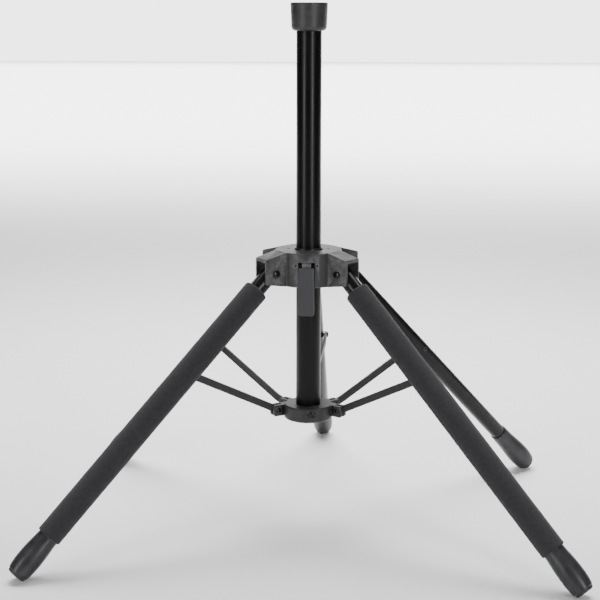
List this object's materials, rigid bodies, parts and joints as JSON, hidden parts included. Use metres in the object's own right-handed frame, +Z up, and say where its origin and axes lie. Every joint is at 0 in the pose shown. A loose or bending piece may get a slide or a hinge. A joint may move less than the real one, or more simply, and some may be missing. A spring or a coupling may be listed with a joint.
{
  "type": "trumpet stand",
  "caption": "Folding floor stand for a trumpet: capped peg on a column, sliding hub with lock lever, legs and struts that fold, foam on the front legs.",
  "frame": {"origin": "centre of the open stand's footprint, on the floor", "axes": "+Z up along the column; the lock lever and the foam-covered legs face -Y"},
  "size_m": [0.5454, 0.5019, 0.5419],
  "materials": {
    "column_black": "semi-gloss black lacquer on steel tube",
    "leg_black": "gloss black lacquer on steel tube",
    "hub_black": "satin black paint on a cast part",
    "lever_grey": "satin dark grey",
    "strut_black": "satin black flat steel bar",
    "foam_charcoal": "matte closed-cell foam",
    "foot_rubber": "satin moulded rubber",
    "cap_rubber": "satin moulded rubber",
    "screw_black": "black oxide steel",
    "nylon_black": "moulded nylon"
  },
  "bodies": {
    "column": {"column_tube": "column_black", "peg_cap": "cap_rubber", "column_end_plug": "nylon_black", "lower_collar": "hub_black", "collar_set_screw": "screw_black", "collar_rivet_front_left": "screw_black", "collar_rivet_front_right": "screw_black", "collar_rivet_rear_right": "screw_black", "collar_rivet_rear": "screw_black", "collar_rivet_rear_left": "screw_black"},
    "hub": {"hub": "hub_black", "hub_guide_bush": "nylon_black", "lever_pin": "screw_black", "hub_pivot_pin_front_left": "screw_black", "hub_pivot_pin_front_right": "screw_black", "hub_pivot_pin_rear_right": "screw_black", "hub_pivot_pin_rear": "screw_black", "hub_pivot_pin_rear_left": "screw_black"},
    "lever": {"lock_lever": "lever_grey"},
    "leg_front_left": {"leg_tube_front_left": "leg_black", "leg_top_plug_front_left": "nylon_black", "rubber_foot_front_left": "foot_rubber", "leg_rivet_front_left": "screw_black", "foam_sleeve_front_left": "foam_charcoal"},
    "strut_front_left": {"strut_front_left": "strut_black", "strut_rivet_head_front_left": "screw_black"},
    "leg_front_right": {"leg_tube_front_right": "leg_black", "leg_top_plug_front_right": "nylon_black", "rubber_foot_front_right": "foot_rubber", "leg_rivet_front_right": "screw_black", "foam_sleeve_front_right": "foam_charcoal"},
    "strut_front_right": {"strut_front_right": "strut_black", "strut_rivet_head_front_right": "screw_black"},
    "leg_rear_right": {"leg_tube_rear_right": "leg_black", "leg_top_plug_rear_right": "nylon_black", "rubber_foot_rear_right": "foot_rubber", "leg_rivet_rear_right": "screw_black"},
    "strut_rear_right": {"strut_rear_right": "strut_black", "strut_rivet_head_rear_right": "screw_black"},
    "leg_rear": {"leg_tube_rear": "leg_black", "leg_top_plug_rear": "nylon_black", "rubber_foot_rear": "foot_rubber", "leg_rivet_rear": "screw_black"},
    "strut_rear": {"strut_rear": "strut_black", "strut_rivet_head_rear": "screw_black"},
    "leg_rear_left": {"leg_tube_rear_left": "leg_black", "leg_top_plug_rear_left": "nylon_black", "rubber_foot_rear_left": "foot_rubber", "leg_rivet_rear_left": "screw_black"},
    "strut_rear_left": {"strut_rear_left": "strut_black", "strut_rivet_head_rear_left": "screw_black"}
  },
  "joints": [
    {"name": "hub_slide", "type": "slide", "parent": "column", "child": "hub", "axis": [0, 0, 1], "range_m": [0, 0.1037]},
    {"name": "lever_swing", "type": "hinge", "parent": "hub", "child": "lever", "pos_m": [0, -0.10004, 0.2816], "axis": [1, 0, 0], "range_deg": [-25, 0]},
    {"name": "leg_fold_front_left", "type": "hinge", "parent": "hub", "child": "leg_front_left", "pos_m": [-0.03631, -0.09284, 0.2727], "axis": [0.5417, -0.8406, 0], "range_deg": [0, 41.19]},
    {"name": "strut_fold_front_left", "type": "hinge", "parent": "column", "child": "strut_front_left", "pos_m": [-0.03281, -0.07345, 0.1244], "axis": [0.5417, -0.8406, 0], "range_deg": [-51.67, 0]},
    {"name": "leg_fold_front_right", "type": "hinge", "parent": "hub", "child": "leg_front_right", "pos_m": [0.03631, -0.09284, 0.2727], "axis": [0.5417, 0.8406, 0], "range_deg": [0, 41.19]},
    {"name": "strut_fold_front_right", "type": "hinge", "parent": "column", "child": "strut_front_right", "pos_m": [0.03281, -0.07345, 0.1244], "axis": [0.5417, 0.8406, 0], "range_deg": [-51.67, 0]},
    {"name": "leg_fold_rear_right", "type": "hinge", "parent": "hub", "child": "leg_rear_right", "pos_m": [0.03381, -0.04254, 0.2727], "axis": [-0.6225, 0.7826, 0], "range_deg": [0, 27.82]},
    {"name": "strut_fold_rear_right", "type": "hinge", "parent": "column", "child": "strut_rear_right", "pos_m": [0.02583, -0.04889, 0.1244], "axis": [-0.6225, 0.7826, 0], "range_deg": [-42.39, 0]},
    {"name": "leg_fold_rear", "type": "hinge", "parent": "hub", "child": "leg_rear", "pos_m": [0, -0.02624, 0.2727], "axis": [-1, 0, 0], "range_deg": [0, 27.82]},
    {"name": "strut_fold_rear", "type": "hinge", "parent": "column", "child": "strut_rear", "pos_m": [0, -0.03644, 0.1244], "axis": [-1, 0, 0], "range_deg": [-42.39, 0]},
    {"name": "leg_fold_rear_left", "type": "hinge", "parent": "hub", "child": "leg_rear_left", "pos_m": [-0.03381, -0.04254, 0.2727], "axis": [-0.6225, -0.7826, 0], "range_deg": [0, 27.82]},
    {"name": "strut_fold_rear_left", "type": "hinge", "parent": "column", "child": "strut_rear_left", "pos_m": [-0.02583, -0.04889, 0.1244], "axis": [-0.6225, -0.7826, 0], "range_deg": [-42.39, 0]}
  ],
  "couplings": [
    {"joint": "leg_fold_front_left", "follows": "hub_slide", "rad_per_m": 6.848},
    {"joint": "strut_fold_front_left", "follows": "hub_slide", "rad_per_m": -8.6127},
    {"joint": "leg_fold_front_right", "follows": "hub_slide", "rad_per_m": 6.848},
    {"joint": "strut_fold_front_right", "follows": "hub_slide", "rad_per_m": -8.6127},
    {"joint": "leg_fold_rear_right", "follows": "hub_slide", "rad_per_m": 4.5973},
    {"joint": "strut_fold_rear_right", "follows": "hub_slide", "rad_per_m": -7.0502},
    {"joint": "leg_fold_rear", "follows": "hub_slide", "rad_per_m": 4.5973},
    {"joint": "strut_fold_rear", "follows": "hub_slide", "rad_per_m": -7.0502},
    {"joint": "leg_fold_rear_left", "follows": "hub_slide", "rad_per_m": 4.5973},
    {"joint": "strut_fold_rear_left", "follows": "hub_slide", "rad_per_m": -7.0502}
  ]
}
